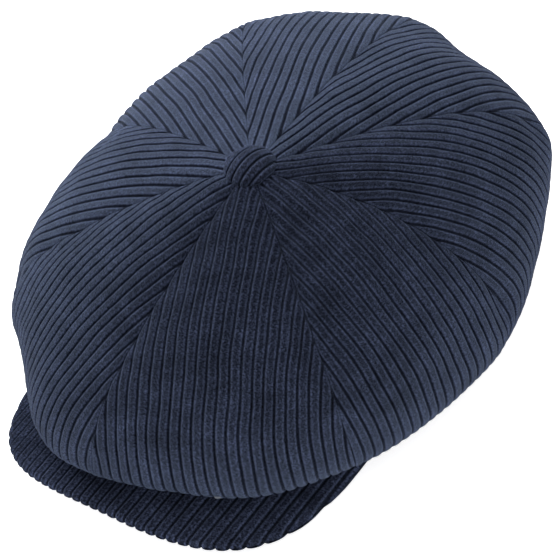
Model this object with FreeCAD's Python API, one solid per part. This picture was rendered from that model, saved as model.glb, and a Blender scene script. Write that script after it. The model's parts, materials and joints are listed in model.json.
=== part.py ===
"""Eight-panel newsboy cap in wide-wale corduroy, at real size in millimetres.

Frame: the origin is the centre of the head opening at the rim, +Z runs up through the crown,
the visor points along -Y and the wearer's left is +X. The back half of the rim lies in the plane z = 0.
A seam's angle is measured about +Z from the front (-Y) towards the wearer's left (+X).
"""
import FreeCAD, Part
import math
import os

Vector = FreeCAD.Vector

# Head opening: an ellipse, measured on the inner face of the sweatband (size 57)
OPENING_HALF_WIDTH = 82.0
OPENING_HALF_LENGTH = 99.0
SWEATBAND_THICKNESS = 1.0
SWEATBAND_HEIGHT = 32.0
TAPE_GAP = 0.1
TAPE_THICKNESS = 0.8
TAPE_HEIGHT = 20.0
TAPE_LIFT = 2.0
CROWN_EDGE_GAP = 0.3
LABEL_THICKNESS = 0.4

# Crown: the apex under the button, and the widest ring of the puffed crown at each seam.
# The right-hand seams mirror the left-hand ones.
APEX_Y = 1.0
APEX_Z = 95.5
RING_CENTRE_Y = 7.5
SEAM_RING = {
    "front": (0.0, 148.0, 36.5),
    "front_left": (48.5, 131.0, 31.0),
    "left": (94.5, 115.5, 34.5),
    "back_left": (139.0, 130.5, 53.5),
    "back": (180.0, 127.0, 66.0),
    "back_right": (-139.0, 130.5, 53.5),
    "right": (-94.5, 115.5, 34.5),
    "front_right": (-48.5, 131.0, 31.0),
}
SHOULDER_FRONT = 1.45
SHOULDER_BACK = 3.3
SHOULDER_DROP = 0.5
GORE_BULGE = 0.09
GORE_THICKNESS = 2.2
SEAM_GAP = 0.15
LINING_GAP = 0.7
LINING_THICKNESS = 0.4
APEX_START = 0.02
TOP_STATIONS = 9
UNDER_STATIONS = 9
ACROSS_STATIONS = 7
NORMAL_STEP = 0.01
SEAM_NORMAL_POWER = 4

# Visor: a stiff board between two corduroy covers, arched across its width as a parabola
VISOR_HALF_WIDTH = 85.8
VISOR_CORNER_Y = -58.0
VISOR_REACH = 89.3
VISOR_SQUARENESS = 3.0
VISOR_CENTRE_Z = 19.5
VISOR_DROOP = 16.8
VISOR_BOARD_THICKNESS = 1.6
VISOR_COVER_THICKNESS = 1.5
VISOR_EDGE_MARGIN = 2.0
VISOR_SEAM_GAP = 0.8
VISOR_WING_ANGLE = 64.0
VISOR_FOLD_GAP = 0.7
CROWN_EDGE_LIFT = 1.4
OUTLINE_STEPS = 24

# The upright prism and the arched slab whose overlap is a layer of the visor reach past it by these
PRISM_LOW = -20.0
PRISM_HIGH = 60.0
SLAB_SPREAD = 1.2
SLAB_MARGIN = 10.0

# Where the crown's edge comes down from the visor to the rim plane, as angles round the opening
EDGE_LANDS_FROM = 72.0
EDGE_LANDS_AT = 104.0

# The front of the rim lifts over the forehead as a parabola across the width
RIM_ARCH = 16.8
RIM_FRONT_SECTIONS = 17

# Covered button at the apex
BUTTON_RADIUS = 12.0
BUTTON_HEIGHT = 6.8
BUTTON_EDGE_RADIUS = 3.4
BUTTON_LIFT = 0.9
BUTTON_COVER_THICKNESS = 1.6
BUTTON_SHELL_THICKNESS = 0.5
BUTTON_BASE_RADIUS = 9.2
BUTTON_BASE_THICKNESS = 0.8
BUTTON_PIN_RADIUS = 1.0
BUTTON_PIN_LENGTH = 7.0
WASHER_RADIUS = 6.0
WASHER_THICKNESS = 0.8
WASHER_GAP = 1.2

# Sewing thread
THREAD_RADIUS = 0.25
STITCH_LENGTH = 3.4
STITCH_GAP = 1.1
STITCH_INSET = 3.0
TACK_STITCHES = 3
TACK_LENGTH = 3.0
TACK_SPACING = 0.7
TACK_DOWN_GORE = 1.12
TACK_ACROSS_GORE = 0.5

# Labels inside the back of the opening: turn from the front in degrees, width, height, height of the foot
LABELS = {
    "size_label": (180.0, 16.0, 12.0, 16.0),
    "care_label": (150.0, 26.0, 18.0, 10.0),
}


# ---------------------------------------------------------------- shared geometry

def smoothstep(x):
    x = min(max(x, 0.0), 1.0)
    return x * x * (3.0 - 2.0 * x)


def visor_mid_height(x):
    return VISOR_CENTRE_Z - VISOR_DROOP * (x / VISOR_HALF_WIDTH) ** 2


def visor_half_thickness():
    return VISOR_BOARD_THICKNESS / 2.0 + VISOR_COVER_THICKNESS


def crown_edge_axes():
    """Half width and half length of the ellipse on which the crown's lower edge lies."""
    build_up = SWEATBAND_THICKNESS + TAPE_GAP + TAPE_THICKNESS + CROWN_EDGE_GAP
    return OPENING_HALF_WIDTH + build_up, OPENING_HALF_LENGTH + build_up


def crown_edge_point(angle):
    """Point of the crown's lower edge: above the visor at the front, in the rim plane at the back."""
    half_width, half_length = crown_edge_axes()
    x = half_width * math.sin(angle)
    y = -half_length * math.cos(angle)
    above_visor = visor_mid_height(x) + visor_half_thickness() + VISOR_FOLD_GAP
    turned = math.degrees(math.acos(math.cos(angle)))
    landing = smoothstep((EDGE_LANDS_AT - turned) / (EDGE_LANDS_AT - EDGE_LANDS_FROM))
    return Vector(x, y, CROWN_EDGE_LIFT + (above_visor - CROWN_EDGE_LIFT) * landing)


def ring_point(seam):
    """Where a seam crosses the crown's widest ring."""
    degrees, radius, height = SEAM_RING[seam]
    turn = math.radians(degrees)
    return Vector(radius * math.sin(turn), RING_CENTRE_Y - radius * math.cos(turn), height)


def edge_angle(seam):
    """Angle round the opening at which a seam reaches the crown's lower edge."""
    ring = ring_point(seam)
    half_width, half_length = crown_edge_axes()
    return math.atan2(ring.x / half_width, -ring.y / half_length)


def top_seam_point(seam, u):
    """Point on a seam of the crown's top: u runs 0 to 1 from the apex to the widest ring."""
    ring = ring_point(seam)
    outward = math.sin(u * math.pi / 2.0)
    towards_back = (1.0 - math.cos(math.radians(SEAM_RING[seam][0]))) / 2.0
    power = SHOULDER_FRONT + (SHOULDER_BACK - SHOULDER_FRONT) * towards_back
    rise = max(1.0 - outward ** power, 0.0) ** SHOULDER_DROP
    return Vector(ring.x * outward,
                  APEX_Y + (ring.y - APEX_Y) * outward,
                  ring.z + (APEX_Z - ring.z) * rise)


def top_gore_point(seams, u, v):
    """Point on a gore's top: v runs 0 to 1 across it, and the cloth bulges between its seams."""
    first = top_seam_point(seams[0], u)
    second = top_seam_point(seams[1], u)
    chord = second - first
    middle = first + chord * v
    outward = Vector(middle.x, middle.y - RING_CENTRE_Y, 0.0)
    outward.normalize()
    direction = outward * u + Vector(0.0, 0.0, 1.0) * (1.0 - u)
    direction.normalize()
    return middle + direction * (GORE_BULGE * chord.Length * 4.0 * v * (1.0 - v))


def gore_point(seams, u, v):
    """Point on a gore's outer face: u runs 0 to 1 down its top and 1 to 2 under to the rim."""
    if u <= 1.0:
        return top_gore_point(seams, u, v)
    ring = top_gore_point(seams, 1.0, v)
    start = edge_angle(seams[0])
    sweep = (edge_angle(seams[1]) - start) % (2.0 * math.pi)
    edge = crown_edge_point(start + sweep * v)
    under = (u - 1.0) * math.pi / 2.0
    inward = 1.0 - math.cos(under)
    return Vector(ring.x + (edge.x - ring.x) * inward,
                  ring.y + (edge.y - ring.y) * inward,
                  ring.z + (edge.z - ring.z) * math.sin(under))


def gore_normal(seams, u, v):
    step = NORMAL_STEP
    along = gore_point(seams, min(u + step, 2.0), v) - gore_point(seams, max(u - step, APEX_START / 2.0), v)
    across = gore_point(seams, u, min(v + step, 1.0)) - gore_point(seams, u, max(v - step, 0.0))
    normal = along.cross(across)
    normal.normalize()
    return normal


def neighbours(index):
    names = list(SEAM_RING)
    count = len(names)
    return names[index % count], names[(index + 1) % count]


def offset_normal(index, u, v):
    """Outward normal of a gore, shared with its neighbour where they meet at a seam."""
    own = gore_normal(neighbours(index), u, v)
    if v < 0.5:
        shared = own + gore_normal(neighbours(index - 1), u, 1.0)
    else:
        shared = own + gore_normal(neighbours(index + 1), u, 0.0)
    shared.normalize()
    at_seam = abs(2.0 * v - 1.0) ** SEAM_NORMAL_POWER
    blended = own * (1.0 - at_seam) + shared * at_seam
    blended.normalize()
    return blended


def stations():
    top = [APEX_START + (1.0 - APEX_START) * i / (TOP_STATIONS - 1.0) for i in range(TOP_STATIONS)]
    under = [1.0 + i / (UNDER_STATIONS - 1.0) for i in range(1, UNDER_STATIONS)]
    return top + under


def gore_row(index, u, depth):
    """Points across a gore, from seam to seam, at one depth below its outer face."""
    seams = neighbours(index)
    chord = (gore_point(seams, u, 1.0) - gore_point(seams, u, 0.0)).Length
    margin = SEAM_GAP / chord
    row = []
    for j in range(ACROSS_STATIONS):
        v = margin + (1.0 - 2.0 * margin) * j / (ACROSS_STATIONS - 1.0)
        row.append(gore_point(seams, u, v) - offset_normal(index, u, v) * depth)
    return row


def smooth_edge(points):
    curve = Part.BSplineCurve()
    curve.interpolate(points)
    return curve.toShape()


def gore_layer(index, outer_depth, inner_depth):
    """Closed shell of one gore between two depths, lofted through cross-sections from apex to rim."""
    sections = []
    end_caps = []
    for u in stations():
        outer_row = gore_row(index, u, outer_depth)
        inner_row = gore_row(index, u, inner_depth)
        outer = smooth_edge(outer_row)
        inner = smooth_edge(inner_row)
        sections.append(Part.Wire([outer, Part.makeLine(outer_row[-1], inner_row[-1]),
                                   inner, Part.makeLine(inner_row[0], outer_row[0])]))
        end_caps.append(Part.makeRuledSurface(outer, inner))
    walls = Part.makeLoft(sections, False, False)
    shell = Part.makeShell(walls.Faces + [end_caps[0], end_caps[-1]])
    shell.sewShape()
    solid = Part.makeSolid(shell)
    if solid.Volume < 0.0:
        solid.reverse()
    return solid


def ellipse_prism(half_width, half_length, low, high):
    ellipse = Part.Ellipse(Vector(0.0, half_length, low), Vector(half_width, 0.0, low),
                           Vector(0.0, 0.0, low))
    return Part.Face(Part.Wire(ellipse.toShape())).extrude(Vector(0.0, 0.0, high - low))


def parabola_edge(half_width, centre_z, drop, y):
    """Exact parabola across the cap: centre_z in the middle, lower by drop at half_width."""
    curve = Part.BezierCurve()
    curve.setPoles([Vector(-half_width, y, centre_z - drop),
                    Vector(0.0, y, centre_z + drop),
                    Vector(half_width, y, centre_z - drop)])
    return curve.toShape()


def parabola_slab(half_width, drop, low_z, high_z, y_from, y_to):
    """Arched slab: its faces are parabolas across the width, with the given heights in the middle."""
    low = parabola_edge(half_width, low_z, drop, y_from)
    high = parabola_edge(half_width, high_z, drop, y_from)
    sides = []
    for end in (0, 1):
        sides.append(Part.makeLine(low.Vertexes[end].Point, high.Vertexes[end].Point))
    wire = Part.Wire([low, sides[1], high, sides[0]])
    return Part.Face(wire).extrude(Vector(0.0, y_to - y_from, 0.0))


# ---------------------------------------------------------------- crown and lining

# Each gore on the wearer's left, from the front round to the back, and its mirror image on the right
GORE_NAMES = [("front_left", "front_right"), ("left_front", "right_front"),
              ("left_back", "right_back"), ("back_left", "back_right")]


def crown_gore(index):
    return gore_layer(index, 0.0, GORE_THICKNESS)


def lining_gore(index):
    outer_depth = GORE_THICKNESS + LINING_GAP
    return gore_layer(index, outer_depth, outer_depth + LINING_THICKNESS)


# ---------------------------------------------------------------- rim

def rim_lift(angle):
    """Height by which the front of the rim is lifted over the forehead."""
    return RIM_ARCH * math.cos(angle) ** 2 if math.cos(angle) > 0.0 else 0.0


def rim_section(inner_offset, thickness, low, high, angle):
    """Upright rectangle across a rim band at one angle round the opening."""
    lift = rim_lift(angle)
    corners = []
    for offset, height in ((0.0, low), (thickness, low), (thickness, high), (0.0, high), (0.0, low)):
        reach = inner_offset + offset
        corners.append(Vector((OPENING_HALF_WIDTH + reach) * math.sin(angle),
                              -(OPENING_HALF_LENGTH + reach) * math.cos(angle), height + lift))
    return Part.makePolygon(corners)


def rim_band(inner_offset, thickness, low, high):
    """Upright band on the rim's ellipse: level round the back, and lifted over the forehead."""
    half_width = OPENING_HALF_WIDTH + inner_offset
    half_length = OPENING_HALF_LENGTH + inner_offset
    ring = ellipse_prism(half_width + thickness, half_length + thickness, low, high)
    ring = ring.cut(ellipse_prism(half_width, half_length, low, high))
    reach = OPENING_HALF_LENGTH * 2.0
    back = ring.common(Part.makeBox(2.0 * reach, reach, high - low, Vector(-reach, 0.0, low)))
    sections = []
    for i in range(RIM_FRONT_SECTIONS):
        angle = math.pi * (i / (RIM_FRONT_SECTIONS - 1.0) - 0.5)
        sections.append(rim_section(inner_offset, thickness, low, high, angle))
    front = Part.makeLoft(sections, True, False)
    return back.fuse(front)


def sweatband():
    return rim_band(0.0, SWEATBAND_THICKNESS, 0.0, SWEATBAND_HEIGHT)


def rim_tape():
    return rim_band(SWEATBAND_THICKNESS + TAPE_GAP, TAPE_THICKNESS, TAPE_LIFT, TAPE_LIFT + TAPE_HEIGHT)


def sweatband_stitching():
    """One row of separate stitches on the sweatband's inner face, just above its lower edge."""
    half_width = OPENING_HALF_WIDTH - THREAD_RADIUS
    half_length = OPENING_HALF_LENGTH - THREAD_RADIUS
    pitch = STITCH_LENGTH + STITCH_GAP
    count = int(2.0 * math.pi * math.sqrt((half_width ** 2 + half_length ** 2) / 2.0) / pitch)
    stitches = []
    for i in range(count):
        middle = 2.0 * math.pi * i / count
        half_turn = math.pi * STITCH_LENGTH / pitch / count
        ends = []
        for turn in (middle - half_turn, middle + half_turn):
            ends.append(Vector(half_width * math.sin(turn), -half_length * math.cos(turn),
                               STITCH_INSET + rim_lift(turn)))
        run = ends[1] - ends[0]
        stitches.append(Part.makeCylinder(THREAD_RADIUS, run.Length, ends[0], run))
    return Part.makeCompound(stitches)


def inner_label(turn_degrees, width, height, lift):
    """Blank label standing flat against the sweatband's inner face at the back of the opening."""
    turn = math.radians(turn_degrees)
    offset = THREAD_RADIUS
    x = (OPENING_HALF_WIDTH - offset) * math.sin(turn)
    y = -(OPENING_HALF_LENGTH - offset) * math.cos(turn)
    normal = Vector(-x / OPENING_HALF_WIDTH ** 2, -y / OPENING_HALF_LENGTH ** 2, 0.0)
    normal.normalize()
    along = Vector(0.0, 0.0, 1.0).cross(normal)
    sag = width ** 2 / (8.0 * OPENING_HALF_WIDTH)
    start = Vector(x, y, lift) + normal * sag - along * (width / 2.0)
    corners = [start, start + along * width, start + along * width + normal * LABEL_THICKNESS,
               start + normal * LABEL_THICKNESS]
    wire = Part.makePolygon(corners + [corners[0]])
    return Part.Face(wire).extrude(Vector(0.0, 0.0, height))


# ---------------------------------------------------------------- visor

def visor_plan(inset, low, high):
    """Upright prism with the visor's plan outline, from the curved front edge back to the rim."""
    half_width = VISOR_HALF_WIDTH - inset
    reach = VISOR_REACH - inset
    power = 2.0 / VISOR_SQUARENESS
    points = []
    for i in range(OUTLINE_STEPS + 1):
        turn = math.pi * (i / OUTLINE_STEPS - 0.5)
        x = half_width * math.copysign(abs(math.sin(turn)) ** power, turn)
        y = VISOR_CORNER_Y - reach * abs(math.cos(turn)) ** power
        points.append(Vector(x, y, low))
    front = Part.BSplineCurve()
    front.interpolate(points, False)
    edge_width, edge_length = visor_seam_axes()
    wing = math.radians(VISOR_WING_ANGLE)
    wing_x = edge_width * math.sin(wing) - inset / 2.0
    wing_y = -edge_length * math.cos(wing) - inset / 2.0
    sides = []
    for hand in (1.0, -1.0):
        curve = Part.BezierCurve()
        curve.setPoles([Vector(hand * half_width, VISOR_CORNER_Y, low),
                        Vector(hand * half_width, wing_y - inset / 2.0, low),
                        Vector(hand * wing_x, wing_y, low)])
        sides.append(curve.toShape())
    back = Part.makeLine(Vector(wing_x, wing_y, low), Vector(-wing_x, wing_y, low))
    wire = Part.Wire(Part.__sortEdges__([front.toShape(), back] + sides))
    prism = Part.Face(wire).extrude(Vector(0.0, 0.0, high - low))
    opening = ellipse_prism(edge_width + inset / 2.0, edge_length + inset / 2.0, low - 1.0, high + 1.0)
    return prism.cut(opening)


def visor_seam_axes():
    half_width, half_length = crown_edge_axes()
    return half_width + VISOR_SEAM_GAP, half_length + VISOR_SEAM_GAP


def visor_slab(low_offset, high_offset):
    """Arched slab between two heights measured from the visor's middle face."""
    half_width = VISOR_HALF_WIDTH * SLAB_SPREAD
    far = VISOR_CORNER_Y - VISOR_REACH - SLAB_MARGIN
    return parabola_slab(half_width, VISOR_DROOP * SLAB_SPREAD ** 2, VISOR_CENTRE_Z + low_offset,
                         VISOR_CENTRE_Z + high_offset, far, 0.0)


def visor_layer(inset, low_offset, high_offset):
    return visor_plan(inset, PRISM_LOW, PRISM_HIGH).common(visor_slab(low_offset, high_offset))


def visor_board():
    half = VISOR_BOARD_THICKNESS / 2.0
    return visor_layer(VISOR_EDGE_MARGIN, -half, half)


def visor_top_cover(board):
    return visor_layer(0.0, 0.0, visor_half_thickness()).cut(board)


def visor_under_cover(board):
    return visor_layer(0.0, -visor_half_thickness(), 0.0).cut(board)


# ---------------------------------------------------------------- button

def revolved(points):
    """Solid of revolution about the crown's axis from an outline of (radius, height) points."""
    outline = [Vector(r, APEX_Y, APEX_Z + z) for r, z in points]
    face = Part.Face(Part.makePolygon(outline + [outline[0]]))
    return face.revolve(Vector(0.0, APEX_Y, 0.0), Vector(0.0, 0.0, 1.0), 360.0)


def dome_arcs(inset):
    """Two tangent arcs, from the dome's foot up to the axis, at a depth below the button's face."""
    shoulder_x = BUTTON_RADIUS - BUTTON_EDGE_RADIUS
    rise = BUTTON_HEIGHT
    edge = BUTTON_EDGE_RADIUS
    crown_radius = (shoulder_x ** 2 + rise ** 2 - edge ** 2) / (2.0 * (rise - edge))
    base = Vector(0.0, APEX_Y, APEX_Z + BUTTON_LIFT)
    shoulder = base + Vector(shoulder_x, 0.0, 0.0)
    centre = base + Vector(0.0, 0.0, rise - crown_radius)
    tangent = math.atan2(shoulder.z - centre.z, shoulder_x)

    def on_arc(middle, radius, angle):
        return middle + Vector(radius * math.cos(angle), 0.0, radius * math.sin(angle))

    foot = on_arc(shoulder, edge - inset, 0.0)
    join = on_arc(shoulder, edge - inset, tangent)
    tip = on_arc(centre, crown_radius - inset, math.pi / 2.0)
    low_arc = Part.Arc(foot, on_arc(shoulder, edge - inset, tangent / 2.0), join)
    top_arc = Part.Arc(join, on_arc(centre, crown_radius - inset, (tangent + math.pi / 2.0) / 2.0), tip)
    return foot, tip, [low_arc.toShape(), top_arc.toShape()]


def dome_shell(outer_inset, inner_inset):
    """Hollow dome of the button between two depths below its face, open below."""
    outer_foot, outer_tip, outer = dome_arcs(outer_inset)
    inner_foot, inner_tip, inner = dome_arcs(inner_inset)
    outline = outer + [Part.makeLine(outer_tip, inner_tip)] + inner + [
        Part.makeLine(inner_foot, outer_foot)]
    face = Part.Face(Part.Wire(Part.__sortEdges__(outline)))
    return face.revolve(Vector(0.0, APEX_Y, 0.0), Vector(0.0, 0.0, 1.0), 360.0)


def button_cover():
    return dome_shell(0.0, BUTTON_COVER_THICKNESS)


def button_shell():
    return dome_shell(BUTTON_COVER_THICKNESS, BUTTON_COVER_THICKNESS + BUTTON_SHELL_THICKNESS)


def button_base():
    """Disc that closes the shell, with the pin that passes down through the crown."""
    disc_low = BUTTON_LIFT
    disc_high = disc_low + BUTTON_BASE_THICKNESS
    return revolved([(0.0, disc_high), (BUTTON_BASE_RADIUS, disc_high), (BUTTON_BASE_RADIUS, disc_low),
                     (BUTTON_PIN_RADIUS, disc_low), (BUTTON_PIN_RADIUS, disc_low - BUTTON_PIN_LENGTH),
                     (0.0, disc_low - BUTTON_PIN_LENGTH)])


def button_washer():
    """Washer inside the crown, pressed onto the pin under the lining."""
    high = -(GORE_THICKNESS + LINING_GAP + LINING_THICKNESS + WASHER_GAP)
    low = high - WASHER_THICKNESS
    hole = BUTTON_PIN_RADIUS
    return revolved([(hole, low), (WASHER_RADIUS, low), (WASHER_RADIUS, high), (hole, high)])


# ---------------------------------------------------------------- crown tack

def crown_tack():
    """Short bar of thread that catches the left front gore's fold, beside the centre-front seam."""
    seams = neighbours(0)
    stitches = []
    u = TACK_DOWN_GORE
    v = TACK_ACROSS_GORE
    base = gore_point(seams, u, v)
    normal = gore_normal(seams, u, v)
    across = gore_point(seams, u, v + NORMAL_STEP) - gore_point(seams, u, v - NORMAL_STEP)
    across.normalize()
    along = normal.cross(across)
    for i in range(TACK_STITCHES):
        shift = (i - (TACK_STITCHES - 1) / 2.0) * TACK_SPACING
        start = base + normal * (2.0 * THREAD_RADIUS) + along * shift - across * (TACK_LENGTH / 2.0)
        stitches.append(Part.makeCylinder(THREAD_RADIUS, TACK_LENGTH, start, across))
    return Part.makeCompound(stitches)


# ---------------------------------------------------------------- build

def build():
    nodes = {}
    middle = Vector(0.0, 0.0, 0.0)
    across = Vector(1.0, 0.0, 0.0)
    for index, (left_name, right_name) in enumerate(GORE_NAMES):
        for layer, make in (("crown_gore_", crown_gore), ("lining_gore_", lining_gore)):
            left = make(index)
            nodes[layer + left_name] = left
            nodes[layer + right_name] = left.mirror(middle, across)
    nodes["sweatband"] = sweatband()
    nodes["rim_tape"] = rim_tape()
    nodes["sweatband_stitching"] = sweatband_stitching()
    for name, place in LABELS.items():
        nodes[name] = inner_label(*place)
    nodes["button_cover"] = button_cover()
    nodes["button_shell"] = button_shell()
    nodes["button_base"] = button_base()
    nodes["button_washer"] = button_washer()
    nodes["crown_tack_stitch"] = crown_tack()
    board = visor_board()
    nodes["visor_board"] = board
    nodes["visor_top_cover"] = visor_top_cover(board)
    nodes["visor_under_cover"] = visor_under_cover(board)
    return nodes


def main():
    os.makedirs("parts", exist_ok=True)
    for name, shape in build().items():
        if not shape.isValid() or shape.Volume <= 0.0:
            raise RuntimeError("bad shape: " + name)
        box = shape.BoundBox
        print("%-28s solids %3d volume %9.1f  x %7.1f %7.1f  y %7.1f %7.1f  z %6.1f %6.1f" % (
            name, len(shape.Solids), shape.Volume, box.XMin, box.XMax, box.YMin, box.YMax,
            box.ZMin, box.ZMax))
        shape.exportStep("parts/" + name + ".step")


main()
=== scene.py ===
"""Looks of an eight-panel corduroy newsboy cap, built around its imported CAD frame. Units are metres.

The origin is the centre of the head opening, +Z runs up through the crown, the visor points along -Y
and the wearer's left is +X. A seam's angle is measured from the front (-Y) towards the wearer's left.
"""
import json
import math

import bpy
import numpy as np
from mathutils import Matrix, Vector, noise

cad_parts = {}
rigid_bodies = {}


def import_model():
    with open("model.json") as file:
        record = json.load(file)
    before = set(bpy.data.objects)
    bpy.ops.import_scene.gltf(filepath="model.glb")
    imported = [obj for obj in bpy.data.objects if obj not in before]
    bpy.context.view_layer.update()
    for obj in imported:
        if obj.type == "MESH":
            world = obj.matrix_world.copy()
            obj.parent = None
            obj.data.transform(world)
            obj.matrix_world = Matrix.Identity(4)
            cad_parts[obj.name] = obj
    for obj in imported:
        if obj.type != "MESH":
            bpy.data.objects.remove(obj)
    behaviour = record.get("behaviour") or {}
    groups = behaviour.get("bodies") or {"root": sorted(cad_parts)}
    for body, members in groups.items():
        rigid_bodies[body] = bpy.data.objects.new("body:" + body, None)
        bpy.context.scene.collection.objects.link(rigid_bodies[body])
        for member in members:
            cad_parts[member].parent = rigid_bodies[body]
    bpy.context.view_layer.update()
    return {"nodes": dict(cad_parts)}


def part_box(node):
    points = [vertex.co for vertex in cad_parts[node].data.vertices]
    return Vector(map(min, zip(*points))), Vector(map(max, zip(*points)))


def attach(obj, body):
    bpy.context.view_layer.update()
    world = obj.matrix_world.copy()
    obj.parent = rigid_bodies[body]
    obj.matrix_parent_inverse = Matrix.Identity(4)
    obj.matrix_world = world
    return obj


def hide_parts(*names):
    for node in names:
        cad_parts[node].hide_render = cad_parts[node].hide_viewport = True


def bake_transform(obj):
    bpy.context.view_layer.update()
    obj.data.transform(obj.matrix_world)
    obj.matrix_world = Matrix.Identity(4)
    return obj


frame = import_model()

# The head opening, from the bands that line it
BAND_THICKNESS = 0.001
BAND_HEIGHT = 0.032
BAND_WAVE = 0.0004
OPENING_HALF_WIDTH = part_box("sweatband")[1].x - BAND_THICKNESS
OPENING_HALF_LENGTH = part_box("sweatband")[1].y - BAND_THICKNESS
TAPE_GAP = 0.0001
TAPE_THICKNESS = 0.0008
TAPE_LOW = 0.002
TAPE_HIGH = 0.022
RIM_ARCH = 0.0168
LABEL_THICKNESS = 0.0004
LABEL_STAND_OFF = 0.00025
LABEL_BOW = 0.0005

# The crown: its apex, its widest ring at each seam (angle, radius, height), and its lower edge
APEX = (0.0, 0.001, 0.0955)
RING_CENTRE_Y = 0.0075
SEAM_RING = {
    "front": (0.0, 0.148, 0.0365),
    "front_left": (48.5, 0.131, 0.031),
    "left": (94.5, 0.1155, 0.0345),
    "back_left": (139.0, 0.1305, 0.0535),
    "back": (180.0, 0.127, 0.066),
    "back_right": (-139.0, 0.1305, 0.0535),
    "right": (-94.5, 0.1155, 0.0345),
    "front_right": (-48.5, 0.131, 0.031),
}
GORE_NAMES = ["front_left", "left_front", "left_back", "back_left",
              "back_right", "right_back", "right_front", "front_right"]
SHOULDER_FRONT = 1.45
SHOULDER_BACK = 3.3
GORE_BULGE = 0.09
EDGE_BUILD_UP = 0.0022
EDGE_LIFT = 0.0014
EDGE_LANDS_FROM = 72.0
EDGE_LANDS_AT = 104.0
APEX_START = 0.02
CLOTH_DEPTH = 0.0022
LINING_DEPTH = 0.0029

# The visor: its plan, its arch across the width, and its two covers
VISOR_HALF_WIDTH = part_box("visor_top_cover")[1].x
VISOR_CORNER_Y = -0.058
VISOR_REACH = VISOR_CORNER_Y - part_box("visor_top_cover")[0].y
VISOR_CENTRE_Z = 0.0195
VISOR_DROOP = 0.0168
VISOR_HALF_THICKNESS = 0.0023
VISOR_COVER = 0.0012
VISOR_SEAM_GAP = 0.0008
VISOR_WING_ANGLE = 64.0
VISOR_FOLD_GAP = 0.0007
VISOR_OUTLINE_STEP = 0.0003
VISOR_NAP = (-0.6, 0.6, 0.0)
VISOR_END_STEPS = (0.0, 0.00003, 0.00012, 0.0003, 0.0006, 0.001, 0.0016)

# Corduroy: one wale and one groove per pitch, how high the wale stands along the pitch, how its pile
# leans, its colour with a painted sheen on the wales' shoulders and painted light and shade on the visor's
# and the button's copies, and how the cloth lies at the seams and the hem
WALE_PITCH = 0.00508
WALE_HEIGHT = 0.00112
WALE_TOP = 0.0003
WALE_STEPS = (0.0, 0.075, 0.13, 0.21, 0.34, 0.5, 0.66, 0.79, 0.87, 0.925)
WALE_PROFILE = (0.0, 0.05, 0.52, 0.84, 0.97, 1.0, 0.97, 0.84, 0.52, 0.05)
NAP_LEAN = 0.74
NAP_AT_HEM = 0.82
NAP_GAIN_AT_APEX = 1.1
# Painted sheen: how much the colour is lightened on the upper walls of each wale, below its top
SHOULDER_PAINTED_SHEEN = 2.0
CORDUROY_DYE = (0.0095, 0.0120, 0.0220)
# Painted light and shade: the visor's copy of the corduroy is lightened and the button's darkened, for the
# light each gets
VISOR_PAINTED_LIGHT = 1.10
BUTTON_PAINTED_SHADE = 0.85
ROW_STEP = 0.0013
COLUMN_MARGIN = 0.00012
SEAM_DITCH = 0.0003
SEAM_DITCH_WIDTH = 0.0008
HEM_ROUNDING = 0.0012
DRIFT = 0.0008
PUCKER = 0.0008
PUCKER_REACH = 0.016

# The covered button on the apex: its box gives its place, and this is its rounded edge
BUTTON_LOW, BUTTON_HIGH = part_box("button_cover")
BUTTON_RADIUS = (BUTTON_HIGH.x - BUTTON_LOW.x) / 2.0
BUTTON_EDGE = 0.0034
BUTTON_COVER = 0.0014
BUTTON_SKIRT = 0.0012
BUTTON_FOOT_TUCK = 0.0004
BUTTON_RINGS = 76
BUTTON_TURNS = 360
BUTTON_WALE_TURN = math.radians(81.0)

# Blank labels on the sweatband: turn from the front, width, height, height of the foot
LABELS = {
    "size_label": (math.radians(180.0), 0.016, 0.012, 0.016),
    "care_label": (math.radians(150.0), 0.026, 0.018, 0.010),
}

# Sewing thread
THREAD_RADIUS = 0.00027
STITCH_LENGTH = 0.0034
STITCH_GAP = 0.0011
STITCH_INSET = 0.003
TACK_STITCHES = 3
TACK_LENGTH = 0.003
TACK_SPACING = 0.0007
TACK_DOWN_GORE = 1.12
TACK_ACROSS_GORE = 0.5

# Crown cloth that reaches further than this, forwards and down from the origin along this slope,
# is not attached to the crown
FLEX_SLOPE = math.radians(30.0)
FLEX_FROM = 0.034

# The camera
CAMERA_AZIMUTH = 46.98
CAMERA_ELEVATION = 45.386
CAMERA_ROLL = -16.007
CAMERA_DISTANCE = 1.1146
CAMERA_TARGET = (0.0356, -0.0337, 0.072)
CAMERA_LENS = 162.65


# ---------------------------------------------------------------- arrays

def smoothstep(x):
    x = np.clip(x, 0.0, 1.0)
    return x * x * (3.0 - 2.0 * x)


def stack(x, y, z):
    return np.stack(np.broadcast_arrays(x, y, z), axis=-1)


def unit(vectors):
    return vectors / np.maximum(np.linalg.norm(vectors, axis=-1, keepdims=True), 1e-12)


def noise_at(points, scale, seed=0.0):
    """Smooth noise between -1 and 1 at each point; scale is the size of one lump."""
    shift = Vector((seed, 1.7 * seed, -0.6 * seed))
    return np.array([noise.noise(Vector(p) / scale + shift) for p in points])


# ---------------------------------------------------------------- the crown's shape

def visor_mid_height(x):
    """Height of the visor's middle layer, which arches across the width."""
    return VISOR_CENTRE_Z - VISOR_DROOP * (x / VISOR_HALF_WIDTH) ** 2


def edge_axes():
    return OPENING_HALF_WIDTH + EDGE_BUILD_UP, OPENING_HALF_LENGTH + EDGE_BUILD_UP


def crown_edge_point(angle):
    """Point of the crown's lower edge: above the visor at the front, in the rim plane at the back."""
    half_width, half_length = edge_axes()
    x = half_width * np.sin(angle)
    above_visor = visor_mid_height(x) + VISOR_HALF_THICKNESS + VISOR_FOLD_GAP
    turned = np.degrees(np.arccos(np.cos(angle)))
    landing = smoothstep((EDGE_LANDS_AT - turned) / (EDGE_LANDS_AT - EDGE_LANDS_FROM))
    return stack(x, -half_length * np.cos(angle), EDGE_LIFT + (above_visor - EDGE_LIFT) * landing)


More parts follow.
